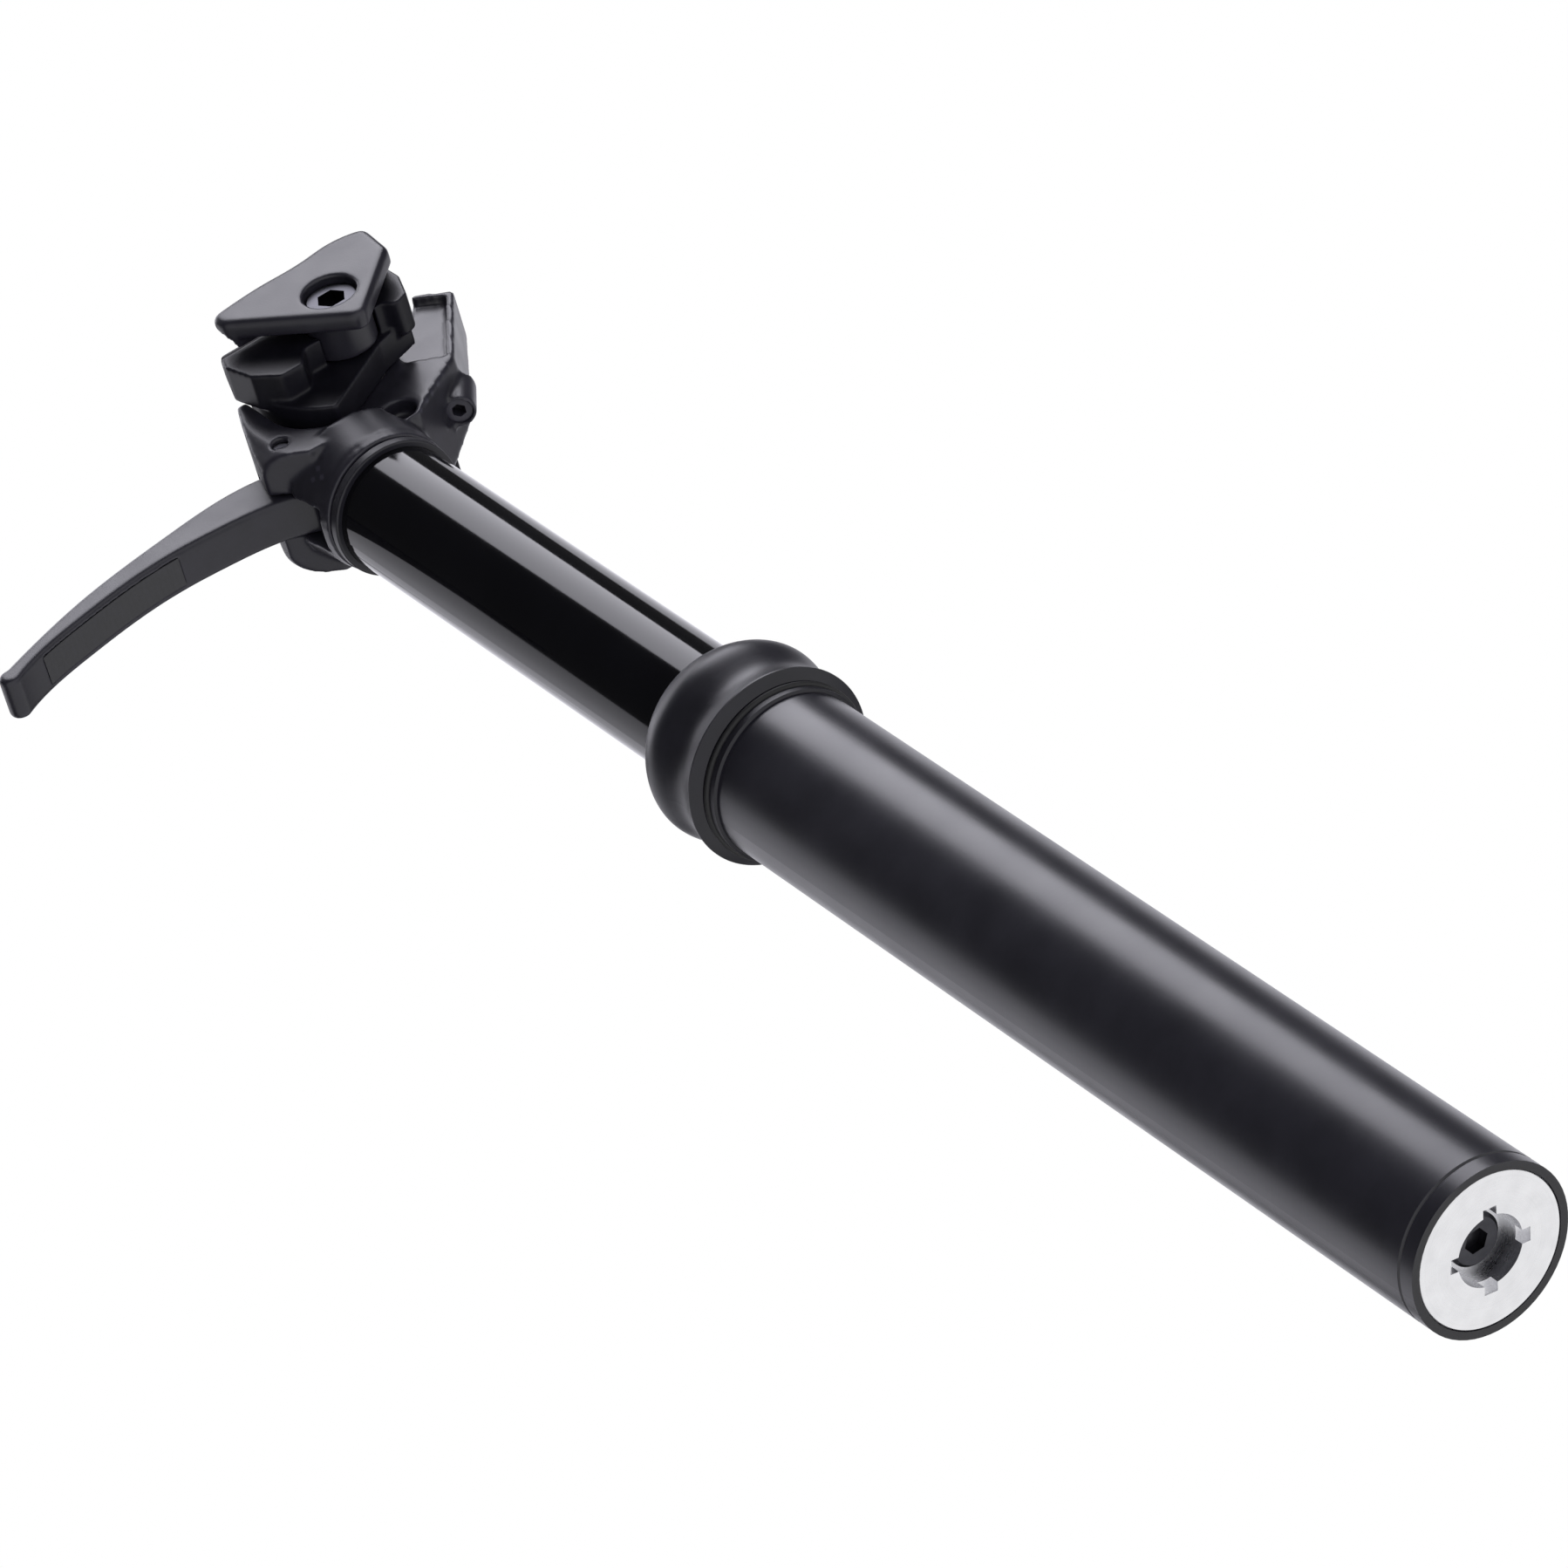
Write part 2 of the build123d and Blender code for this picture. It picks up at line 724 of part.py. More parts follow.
def arm():
    root = raised(arm_root_x, arm_root_rise)
    knee = raised(arm_knee_x, arm_knee_rise)
    end = raised(arm_end_x, arm_end_rise)
    tip = raised(arm_tip_x, arm_tip_rise)
    back = raised(arm_back_x, arm_back_rise)
    heel = raised(cheek_heel_x, neck_rise)
    outline = Polyline(
        root, knee, end, tip, back,
        at(clamp_x, clamp_z),
        at(clamp_x + hub_r, clamp_z - hub_r / 2),
        heel,
        raised(cheek_heel_x, arm_root_rise),
        close=True,
    )
    body = slab(outline, -arm_half, arm_half) & arm_plan(0)
    # The scooped field of each flank, inside a lip along the lower edge and the end
    start = knee + (end - knee) * scoop_start_share
    along = (end - knee).normalized()
    inward = Vector(along.Z, 0, -along.X)
    across = (tip - end).normalized()
    field = Polyline(
        start + inward * scoop_wall,
        end - along * scoop_wall + inward * scoop_wall,
        tip - along * scoop_wall + across * overrun,
        back + inward * overrun,
        at(clamp_x, clamp_z),
        close=True,
    )
    hub = cross_rod(hub_r, clamp_x, clamp_z, -arm_half, arm_half)
    body -= slab(field, -arm_half, arm_half) - arm_plan(scoop_depth)
    return body + hub


foot_along = Vector(-cos(radians(foot_angle_deg)), 0, sin(radians(foot_angle_deg)))


def along_foot(shape, start):
    origin = raised(foot_x, foot_rise) + foot_along * start
    return Plane(origin=origin, x_dir=(0, 1, 0), z_dir=foot_along) * shape


def head():
    foot = Location((0, 0, foot_len / 2)) * Cylinder(foot_r, foot_len)
    body = neck() + front_cheeks() + arm() + along_foot(foot, 0)
    nose_x = cheek_nose_x + overrun
    slot_top_z = neck_z + slot_top_rise
    body -= ring(stanchion_bore_r - seat_clearance, stanchion_r + seat_clearance,
                 neck_z - overrun, slot_floor_z)
    body -= block(slot_back_x, nose_x, slot_half, slot_floor_z, neck_z + slot_tail_top_rise)
    body -= block(slot_front_x, nose_x, slot_half, slot_floor_z, slot_top_z)
    body -= block(slot_mouth_x, nose_x, slot_half, neck_z + slot_mouth_rise, slot_top_z)
    body -= rod(pin_d / 2 + slide_clearance, spigot_z - overrun, slot_floor_z + overrun)
    reach = cheek_half + overrun
    body -= cross_rod(lever_bore_d / 2, pivot_x, pivot_z, -reach, reach)
    body -= cross_rod(nut_d / 2 + slide_clearance, clamp_x, clamp_z, -reach, reach)
    hole_z = neck_z + cross_hole_rise
    blind_y = arm_half - cross_hole_depth
    body -= cross_rod(cross_hole_d / 2, cross_hole_x, hole_z, blind_y, reach)
    body -= cross_rod(cross_hole_d / 2, cross_hole_x, hole_z, -reach, -blind_y)
    hole_len = tilt_screw_inset + tilt_screw_len + overrun
    hole = Cylinder(tilt_screw_d / 2 + thread_clearance, hole_len)
    body -= along_foot(Location((0, 0, hole_len / 2 - overrun)) * hole, 0)
    return body


def tilt_screw():
    screw = Location((0, 0, tilt_screw_len / 2)) * Cylinder(tilt_screw_d / 2, tilt_screw_len)
    socket = Location((0, 0, -overrun)) * hexagon(tilt_socket_af, tilt_socket_depth + overrun)
    return along_foot(screw - socket, tilt_screw_inset)


def pivot_pin():
    half = cheek_half - cheek_wall / 2
    return cross_rod(lever_bore_d / 2 - slide_clearance, pivot_x, pivot_z, -half, half)


def lever_outline():
    def point(share_x, share_z):
        return at(pivot_x + share_x * lever_len, pivot_z + share_z * lever_crown)

    top = [point(*share) for share in lever_top_shares]
    bottom = [point(*share) for share in lever_bottom_shares]
    nose = point(1.0, lever_nose_share)
    root_top = at(pivot_x, pivot_z + lever_root_r)
    tail_low = pin_top_z + tail_gap
    return [
        Spline(root_top, *top),
        ThreePointArc(top[-1], nose, bottom[0]),
        Spline(*bottom, at(pivot_x, pivot_z - lever_root_r)),
        Line(at(pivot_x, pivot_z - lever_root_r), at(tail_x, tail_low)),
        ThreePointArc(
            at(tail_x, tail_low),
            at(tail_x - tail_h / 2, tail_low + tail_h / 2),
            at(tail_x, tail_low + tail_h),
        ),
        Line(at(tail_x, tail_low + tail_h), at(pivot_x - lever_root_r, pivot_z)),
        ThreePointArc(
            at(pivot_x - lever_root_r, pivot_z),
            at(pivot_x - lever_root_r * cos(radians(45)), pivot_z + lever_root_r * sin(radians(45))),
            root_top,
        ),
    ]


def pad_band():
    """Strip along the lever's underside that the finger pad fills."""
    face = make_face(lever_outline())
    strip = face - face.moved(Location((0, 0, pad_t)))
    window = make_face(polygon([
        (pad_x0, pivot_z - lever_crown - overrun),
        (pad_x1, pivot_z - lever_crown - overrun),
        (pad_x1, pivot_z + lever_crown),
        (pad_x0, pivot_z + lever_crown),
    ]))
    return strip & window


def lever():
    body = slab(lever_outline(), -lever_w / 2, lever_w / 2)
    long_edges = [
        e for e in body.edges()
        if abs(abs(e.center().Y) - lever_w / 2) < slide_clearance
        and e.center().X > pivot_x + lever_root_r
    ]
    body = fillet(long_edges, lever_round)
    band = pad_band().moved(Location((0, -pad_w / 2, 0)))
    body -= extrude(band, amount=pad_w, dir=(0, 1, 0))
    body -= cross_rod(lever_bore_d / 2, pivot_x, pivot_z, -lever_w, lever_w)
    return body


def lever_pad():
    band = pad_band().moved(Location((0, pad_gap - pad_w / 2, 0)))
    return extrude(band, amount=pad_w - 2 * pad_gap, dir=(0, 1, 0))


def rail_bore(side):
    length = 2 * (clamp_half_len + overrun)
    return Location((rail_x, side * rail_y, rail_z), (0, 90, 0)) * Cylinder(rail_r + rail_clearance, length)


def cradle_left():
    top_rise = rail_rise + rail_r - cradle_top_gap
    outer_y = rail_y - split_gap / 2
    rim = [(cradle_top_front, top_rise)] + cradle_lobes + [(cradle_top_rear, top_rise)]
    face = make_face(polygon([(clamp_x + x, clamp_z + rise) for x, rise in rim]))
    outline = fillet(face.vertices(), cradle_corner_r).face().outer_wire()
    body = slab(outline, cradle_body_y, outer_y)
    inner_rim = [e for e in body.edges()
                 if abs(e.center().Y - cradle_body_y) < slide_clearance
                 and e.center().Z < clamp_z + top_rise - cradle_corner_r]
    body = fillet(inner_rim, cradle_edge_round)
    sled_face = [(clamp_x + x, clamp_z + rise) for x, rise in [
        (sled_r, top_rise), *sled_rim, (sled_rim[-1][0], top_rise)]]
    sled = slab(polygon(sled_face), cradle_inner_y, cradle_hub_y)
    body += sled & cross_rod(sled_r, clamp_x, clamp_z, cradle_inner_y, cradle_hub_y)
    body += cross_rod(cradle_hub_r, clamp_x, clamp_z, cradle_inner_y, cradle_hub_y)
    body -= rail_bore(1)
    body -= cross_rod(boss_r + boss_clearance, clamp_x, clamp_z, cradle_hub_y, outer_y + overrun)
    body -= cross_rod(bolt_d / 2 + bolt_hole_clearance, clamp_x, clamp_z, 0, outer_y)
    return body


def plate_face():
    def point(x, rise):
        return at(clamp_x + x, clamp_z + rise)

    rear, front = point(*plate_rear_top), point(*plate_front_top)
    crown = [Spline(rear, *[point(x, rise) for x, rise in plate_crown], front)]
    rest = Polyline(front, point(*plate_front_low), point(*plate_vertex), point(*plate_rear_low), rear)
    face = make_face(crown + [rest])
    return fillet(face.vertices(), plate_corner_r).face().outer_wire()


def plate_left():
    body = slab(plate_face(), plate_y0, plate_y1)
    outer_edges = [e for e in body.edges() if abs(e.center().Y - plate_y1) < slide_clearance]
    body = fillet(outer_edges, plate_round)
    jaw = slab(plate_face(), rail_y + split_gap / 2, plate_y0 + plate_round)
    window = block(rail_x - clamp_half_len, rail_x + clamp_half_len,
                   plate_y1, rail_z - jaw_low_gap, rail_z + rail_r + overrun)
    body += jaw & window
    inner_y = cradle_hub_y + boss_gap
    body += cross_rod(boss_r, clamp_x, clamp_z, inner_y, plate_y0 + plate_round)
    body -= rail_bore(1)
    seat_y = plate_y1 - bolt_head_sink - bolt_head_h - washer_t
    counterbore_r = bolt_head_d / 2 + counterbore_clearance
    body -= cross_rod(counterbore_r, clamp_x, clamp_z, seat_y, plate_y1 + overrun)
    body -= cross_rod(bolt_d / 2 + bolt_hole_clearance, clamp_x, clamp_z, 0, plate_y1)
    return body


def bolt_left():
    head_y1 = plate_y1 - bolt_head_sink
    head_y0 = head_y1 - bolt_head_h
    cap = cross_rod(bolt_head_d / 2, clamp_x, clamp_z, head_y0, head_y1)
    rim = [e for e in cap.edges() if abs(e.center().Y - head_y1) < slide_clearance]
    body = fillet(rim, bolt_head_round)
    body += cross_rod(bolt_d / 2, clamp_x, clamp_z, bolt_end_gap, head_y0)
    socket = hexagon(bolt_socket_af, bolt_socket_depth + overrun)
    place = Plane(origin=(clamp_x, head_y1 + overrun, clamp_z), x_dir=(1, 0, 0), z_dir=(0, -1, 0))
    return body - place * socket


def washer_left():
    y1 = plate_y1 - bolt_head_sink - bolt_head_h
    body = cross_rod(bolt_head_d / 2, clamp_x, clamp_z, y1 - washer_t, y1)
    return body - cross_rod(bolt_d / 2 + bolt_hole_clearance, clamp_x, clamp_z, 0, plate_y1)


def barrel_nut():
    half = cradle_inner_y - split_gap
    body = cross_rod(nut_d / 2, clamp_x, clamp_z, -half, half)
    return body - cross_rod(bolt_d / 2 + thread_clearance, clamp_x, clamp_z, -plate_y1, plate_y1)


def mirrored_pair(name, shape):
    return {name + "_left": shape, name + "_right": mirror(shape, about=Plane.XZ)}


def all_parts():
    parts = {
        "outer_tube": outer_tube(),
        "bottom_cap": bottom_cap(),
        "cap_oring": cap_oring(),
        "bottom_screw": bottom_screw(),
        "end_bumper": end_bumper(),
        "collar_ring": collar_ring(),
        "collar_oring": collar_oring(),
        "collar": collar(),
        "wiper_seal": wiper_seal(),
        "upper_bushing": upper_bushing(),
        "stanchion": stanchion(),
        "lower_bushing": lower_bushing(),
        "guide_keys": guide_keys(),
        "cartridge_nut": cartridge_nut(),
        "cartridge_body": cartridge_body(),
        "cartridge_cap": cartridge_cap(),
        "gland": gland(),
        "gland_seal": gland_seal(),
        "topout_bumper": topout_bumper(),
        "cartridge_rod": cartridge_rod(),
        "piston": piston(),
        "piston_ring": piston_ring(),
        "piston_nut": piston_nut(),
        "floating_piston": floating_piston(),
        "floating_seal": floating_seal(),
        "actuator_pin": actuator_pin(),
        "disc_springs": disc_springs(),
        "bump_ring": bump_ring(),
        "head": head(),
        "tilt_screw": tilt_screw(),
        "pivot_pin": pivot_pin(),
        "lever": lever(),
        "lever_pad": lever_pad(),
        "barrel_nut": barrel_nut(),
    }
    parts |= mirrored_pair("cradle", cradle_left())
    parts |= mirrored_pair("plate", plate_left())
    parts |= mirrored_pair("bolt", bolt_left())
    parts |= mirrored_pair("washer", washer_left())
    return parts


os.makedirs("parts", exist_ok=True)
for node, shape in all_parts().items():
    export_step(shape, "parts/" + node + ".step")
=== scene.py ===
import json
import math

import bpy
from mathutils import Matrix, Vector

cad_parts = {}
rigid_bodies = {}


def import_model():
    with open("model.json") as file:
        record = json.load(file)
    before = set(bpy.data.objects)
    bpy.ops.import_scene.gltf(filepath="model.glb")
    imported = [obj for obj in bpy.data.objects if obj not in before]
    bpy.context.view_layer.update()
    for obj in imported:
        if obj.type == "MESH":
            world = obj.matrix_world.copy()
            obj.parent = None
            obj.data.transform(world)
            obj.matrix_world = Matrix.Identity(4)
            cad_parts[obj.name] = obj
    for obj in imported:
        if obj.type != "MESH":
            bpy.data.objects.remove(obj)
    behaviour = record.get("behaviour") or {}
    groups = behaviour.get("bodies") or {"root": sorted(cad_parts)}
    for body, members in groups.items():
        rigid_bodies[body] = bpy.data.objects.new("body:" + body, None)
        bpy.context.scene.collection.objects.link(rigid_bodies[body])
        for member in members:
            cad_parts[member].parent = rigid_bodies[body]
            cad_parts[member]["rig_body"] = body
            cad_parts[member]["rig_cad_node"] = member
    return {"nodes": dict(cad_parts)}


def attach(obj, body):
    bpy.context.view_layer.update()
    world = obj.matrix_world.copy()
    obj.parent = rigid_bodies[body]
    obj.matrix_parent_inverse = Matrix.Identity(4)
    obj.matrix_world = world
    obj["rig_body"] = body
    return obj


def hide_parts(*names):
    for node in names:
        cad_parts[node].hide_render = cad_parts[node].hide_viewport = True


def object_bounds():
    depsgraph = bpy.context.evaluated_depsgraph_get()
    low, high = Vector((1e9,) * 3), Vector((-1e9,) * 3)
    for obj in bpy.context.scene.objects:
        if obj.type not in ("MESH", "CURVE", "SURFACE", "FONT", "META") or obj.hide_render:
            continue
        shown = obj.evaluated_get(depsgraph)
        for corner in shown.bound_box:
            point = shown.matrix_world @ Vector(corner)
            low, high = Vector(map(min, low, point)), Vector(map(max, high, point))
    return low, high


for startName in ("Cube", "Light", "Camera"):  # what a new file brings along
    if startName in bpy.data.objects:
        bpy.data.objects.remove(bpy.data.objects[startName])

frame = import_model()
cadLow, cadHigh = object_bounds()
print("frame loaded:", len(frame["nodes"]), "nodes")


# camera, at the photograph's angle

cameraValues = {
    "place": (0.538582, 0.887197, -0.924909),
    "right": (-0.7954, -0.2269, -0.5619),
    "up": (-0.4934, 0.7808, 0.3831),
    "lens": 204.09,
    "sensor": 36.0,
    "near": 0.01,
    "far": 50.0,
}


def placeCamera(values):
    right = Vector(values["right"]).normalized()
    up = Vector(values["up"])
    up = (up - right * up.dot(right)).normalized()
    back = right.cross(up)
    lensData = bpy.data.cameras.new("photoCamera")
    lensData.lens = values["lens"]
    lensData.sensor_width = values["sensor"]
    lensData.clip_start = values["near"]
    lensData.clip_end = values["far"]
    camera = bpy.data.objects.new("photoCamera", lensData)
    bpy.context.scene.collection.objects.link(camera)
    turn = Matrix((right, up, back)).transposed().to_4x4()
    camera.matrix_world = Matrix.Translation(values["place"]) @ turn
    bpy.context.scene.camera = camera


placeCamera(cameraValues)
bpy.context.scene.view_settings.view_transform = "Standard"
print("camera placed")


# shader maths: a Wire is one socket, and a sum of wires adds its Math node

class Wire:
    def __init__(self, paint, socket):
        self.paint = paint
        self.socket = socket

    def sum(self, operation, first, second=0.0):
        return self.paint.node("ShaderNodeMath", {"operation": operation}, {0: first, 1: second})

    def __add__(self, other):
        return self.sum("ADD", self, other)

    def __radd__(self, other):
        return self.sum("ADD", other, self)

    def __sub__(self, other):
        return self.sum("SUBTRACT", self, other)

    def __rsub__(self, other):
        return self.sum("SUBTRACT", other, self)

    def __mul__(self, other):
        return self.sum("MULTIPLY", self, other)

    def __rmul__(self, other):
        return self.sum("MULTIPLY", other, self)

    def __pow__(self, other):
        return self.sum("POWER", self, other)


class Paint:
    def __init__(self, tree):
        self.tree = tree
        self.tree.nodes.clear()

    def node(self, kind, settings=None, values=None, out=0):
        made = self.tree.nodes.new(kind)
        for key, value in (settings or {}).items():
            if key == "stops":  # a ramp's stops, as place and grey
                for number, (place, grey) in enumerate(value):
                    stops = made.color_ramp.elements
                    stop = stops[number] if number < len(stops) else stops.new(place)
                    stop.position = place
                    stop.color = (grey, grey, grey, 1.0)
            else:
                setattr(made, key, value)
        for key, value in (values or {}).items():
            if isinstance(value, Wire):
                self.tree.links.new(value.socket, made.inputs[key])
            else:
                made.inputs[key].default_value = value
        return Wire(self, made.outputs[out]) if len(made.outputs) else None

    def noise(self, place, scale, detail=2.0, rough=0.5):
        return self.node("ShaderNodeTexNoise", {}, {
            "Vector": place, "Scale": scale, "Detail": detail, "Roughness": rough})

    def line(self, along, scale, detail=2.0):  # noise along one length, for tool marks
        return self.node("ShaderNodeTexNoise", {"noise_dimensions": "1D"}, {
            "W": along, "Scale": scale, "Detail": detail, "Roughness": 0.6})

    def ramp(self, value, stops):
        return self.node("ShaderNodeValToRGB", {"stops": stops}, {"Fac": value})

    def mix(self, factor, first, second):
        return self.node("ShaderNodeMix", {"data_type": "RGBA"}, {
            0: factor, 6: (*first, 1.0) if isinstance(first, tuple) else first,
            7: (*second, 1.0) if isinstance(second, tuple) else second}, out=2)

    def axes(self, place):
        split = self.node("ShaderNodeSeparateXYZ", {}, {0: place}).socket.node
        return [Wire(self, split.outputs[number]) for number in range(3)]


# the marks a tool or mould leaves, as a height from 0 to 1

def blasted(paint, place, look):
    dents = paint.node("ShaderNodeTexVoronoi", {"feature": "SMOOTH_F1"}, {
        "Vector": place, "Scale": look["grain"], "Smoothness": 0.6})
    return dents * 0.6 + paint.noise(place, look["grain"] * 0.35, 3.0) * 0.4


def turned(paint, place, look):  # rings of a lathe, round the post's own axis
    x, y, z = paint.axes(place)
    radius = (x * x + y * y) ** 0.5
    return paint.line(radius + z, look["grain"], 3.0)


def ground(paint, place, look):  # fine lines round a ground tube
    z = paint.axes(place)[2]
    lines = paint.line(z, look["grain"])
    return lines * 0.5 + paint.noise(place, look["grain"] * 0.5) * 0.5


def crossways(paint, place, look):  # rings on what is turned along y
    y = paint.axes(place)[1]
    return paint.line(y, look["grain"], 3.0)


def moulded(paint, place, look):
    return paint.noise(place, look["grain"], 4.0, 0.6)


def ribbed(paint, place, look):  # fine ribs across the lever's pad
    x = paint.axes(place)[0]
    waves = paint.node("ShaderNodeMath", {"operation": "SINE"}, {0: x * look["rib"]})
    return waves * 0.35 + paint.noise(place, look["grain"], 3.0) * 0.5


# each finish: its two tones, its gloss, the size in 1/m and depth in metres of its marks, and for
# the anodised ones the strength of a painted highlight on convex edges

finishes = {
    "anodised": {
        "dark": (0.014, 0.0135, 0.0195), "light": (0.027, 0.026, 0.036), "metallic": 0.0,
        "rough": 0.36, "roughSpread": 0.10, "specular": 0.42, "cloud": 170.0,
        "marks": blasted, "grain": 3600.0, "depth": 0.000012, "edge": 0.05},
    # the same anodised black, painted darker and less glossy for the cradles, which sit in shade
    # under the plates: painted shade
    "anodisedShaded": {
        "dark": (0.006, 0.0058, 0.0090), "light": (0.012, 0.0115, 0.0170), "metallic": 0.0,
        "rough": 0.36, "roughSpread": 0.10, "specular": 0.22, "cloud": 170.0,
        "marks": blasted, "grain": 3600.0, "depth": 0.000012, "edge": 0.05},
    "anodisedTurned": {
        "dark": (0.009, 0.0088, 0.0130), "light": (0.018, 0.0175, 0.0250), "metallic": 0.0,
        "rough": 0.40, "roughSpread": 0.08, "specular": 0.40, "cloud": 140.0,
        "marks": turned, "grain": 3000.0, "depth": 0.000006},
    "gloss_black": {
        "dark": (0.0022, 0.0022, 0.0034), "light": (0.0042, 0.0042, 0.0062), "metallic": 0.0,
        "rough": 0.085, "roughSpread": 0.03, "specular": 0.25, "cloud": 60.0,
        "marks": ground, "grain": 5200.0, "depth": 0.0000012},
    "tube_black": {
        "dark": (0.0125, 0.0122, 0.0180), "light": (0.0225, 0.0220, 0.0310), "metallic": 0.0,
        "rough": 0.31, "roughSpread": 0.08, "specular": 0.46, "cloud": 90.0,
        "marks": ground, "grain": 2600.0, "depth": 0.000007},
    "silver": {
        "dark": (0.72, 0.72, 0.74), "light": (0.86, 0.86, 0.88), "metallic": 1.0,
        "rough": 0.27, "roughSpread": 0.12, "specular": 0.5, "cloud": 260.0,
        "marks": turned, "grain": 2600.0, "depth": 0.000010},
    "steel": {
        "dark": (0.045, 0.045, 0.052), "light": (0.080, 0.080, 0.090), "metallic": 1.0,
        "rough": 0.36, "roughSpread": 0.12, "specular": 0.5, "cloud": 320.0,
        "marks": crossways, "grain": 3600.0, "depth": 0.000008},
    "chrome_rod": {
        "dark": (0.70, 0.70, 0.71), "light": (0.80, 0.80, 0.82), "metallic": 1.0,
        "rough": 0.09, "roughSpread": 0.04, "specular": 0.5, "cloud": 200.0,
        "marks": ground, "grain": 5200.0, "depth": 0.000002},
    "alloy": {
        "dark": (0.58, 0.58, 0.59), "light": (0.72, 0.72, 0.73), "metallic": 1.0,
        "rough": 0.30, "roughSpread": 0.12, "specular": 0.5, "cloud": 240.0,
        "marks": turned, "grain": 3000.0, "depth": 0.000008},
    "seal_rubber": {
        "dark": (0.008, 0.008, 0.009), "light": (0.018, 0.018, 0.019), "metallic": 0.0,
        "rough": 0.55, "roughSpread": 0.16, "specular": 0.4, "cloud": 420.0,
        "marks": moulded, "grain": 4200.0, "depth": 0.000014},
    "pad_rubber": {
        "dark": (0.020, 0.020, 0.023), "light": (0.038, 0.038, 0.043), "metallic": 0.0,
        "rough": 0.50, "roughSpread": 0.14, "specular": 0.5, "cloud": 300.0,
        "marks": ribbed, "grain": 4200.0, "rib": 5200.0, "depth": 0.000020},
    "bushing_plastic": {
        "dark": (0.28, 0.24, 0.16), "light": (0.40, 0.35, 0.25), "metallic": 0.0,
        "rough": 0.48, "roughSpread": 0.14, "specular": 0.5, "cloud": 300.0,
        "marks": turned, "grain": 2200.0, "depth": 0.000010},
    "key_brass": {
        "dark": (0.60, 0.42, 0.17), "light": (0.76, 0.57, 0.27), "metallic": 1.0,
        "rough": 0.30, "roughSpread": 0.14, "specular": 0.5, "cloud": 300.0,
        "marks": ground, "grain": 3000.0, "depth": 0.000008},
}

mixValues = {
    "cloudStops": ((0.32, 0.0), (0.68, 1.0)), "cloudDetail": 3.0,
    "cloudShare": 0.55, "marksShare": 0.45,
    # ramp on pointiness, gain and lift of the painted edge highlight
    "edgeStops": ((0.51, 0.0), (0.60, 1.0)), "edgeGain": 8.0, "edgeBrighter": 3.0,
}


def mixFinish(name, look):
    material = bpy.data.materials.new(name)
    material.use_nodes = True
    paint = Paint(material.node_tree)
    place = paint.node("ShaderNodeTexCoord", out="Object")
    cloud = paint.ramp(paint.noise(place, look["cloud"], mixValues["cloudDetail"]),
                       mixValues["cloudStops"])
    marks = look["marks"](paint, place, look)
    tone = cloud * mixValues["cloudShare"] + marks * mixValues["marksShare"]
    colour = paint.mix(tone, look["dark"], look["light"])
    if "edge" in look:  # convex edges are painted a little brighter, a painted highlight
        bend = paint.node("ShaderNodeNewGeometry", out="Pointiness")
        paintedEdgeHighlight = paint.ramp(bend, mixValues["edgeStops"]) * look["edge"] * mixValues["edgeGain"]
        edgeHighlightColour = tuple(mixValues["edgeBrighter"] * value for value in look["light"])
        colour = paint.mix(paintedEdgeHighlight, colour, edgeHighlightColour)
    rough = (cloud * 0.5 + marks * 0.5 - 0.5) * look["roughSpread"] + look["rough"]
    bump = paint.node("ShaderNodeBump", {}, {
        "Strength": 1.0, "Distance": look["depth"], "Height": marks})
    shade = paint.node("ShaderNodeBsdfPrincipled", {}, {
        "Base Color": colour, "Metallic": look["metallic"], "Roughness": rough,
        "Specular IOR Level": look["specular"], "Normal": bump})
    paint.node("ShaderNodeOutputMaterial", {}, {"Surface": shade})
    return material


finishMade = {name: mixFinish(name, look) for name, look in finishes.items()}
print("finishes mixed:", len(finishMade))


# which finish each CAD node has

nodeFinish = {
    "anodised": ["head", "lever", "plate_left", "plate_right", "tilt_screw"],
    # the cradles get the darker copy of anodised, painted shade for where they sit in shadow
    "anodisedShaded": ["cradle_left", "cradle_right"],
    "anodisedTurned": ["collar", "collar_ring", "bump_ring"],
    "gloss_black": ["stanchion"],
    "tube_black": ["outer_tube"],
    "silver": ["bottom_cap"],
    "steel": ["bottom_screw", "pivot_pin", "bolt_left", "bolt_right",
              "washer_left", "washer_right", "piston_nut", "disc_springs"],
    "chrome_rod": ["cartridge_rod", "actuator_pin"],
    "alloy": ["cartridge_body", "cartridge_cap", "cartridge_nut", "gland", "piston",
              "floating_piston", "barrel_nut"],
    "seal_rubber": ["cap_oring", "collar_oring", "wiper_seal", "gland_seal", "piston_ring",
                    "floating_seal", "end_bumper", "topout_bumper"],
    "pad_rubber": ["lever_pad"],
    "bushing_plastic": ["upper_bushing", "lower_bushing"],
    "key_brass": ["guide_keys"],
}


def dress(piece, finish):
    piece.data.materials.clear()
    piece.data.materials.append(finishMade[finish])
    for face in piece.data.polygons:
        face.material_index = 0


for finish, nodeNames in nodeFinish.items():
    for nodeName in nodeNames:
        dress(frame["nodes"][nodeName], finish)
undressed = sorted(set(frame["nodes"]) - {name for names in nodeFinish.values() for name in names})
print("nodes dressed, left plain:", undressed)


# forged pieces: softened copies of the CAD solids, their edges rolled over

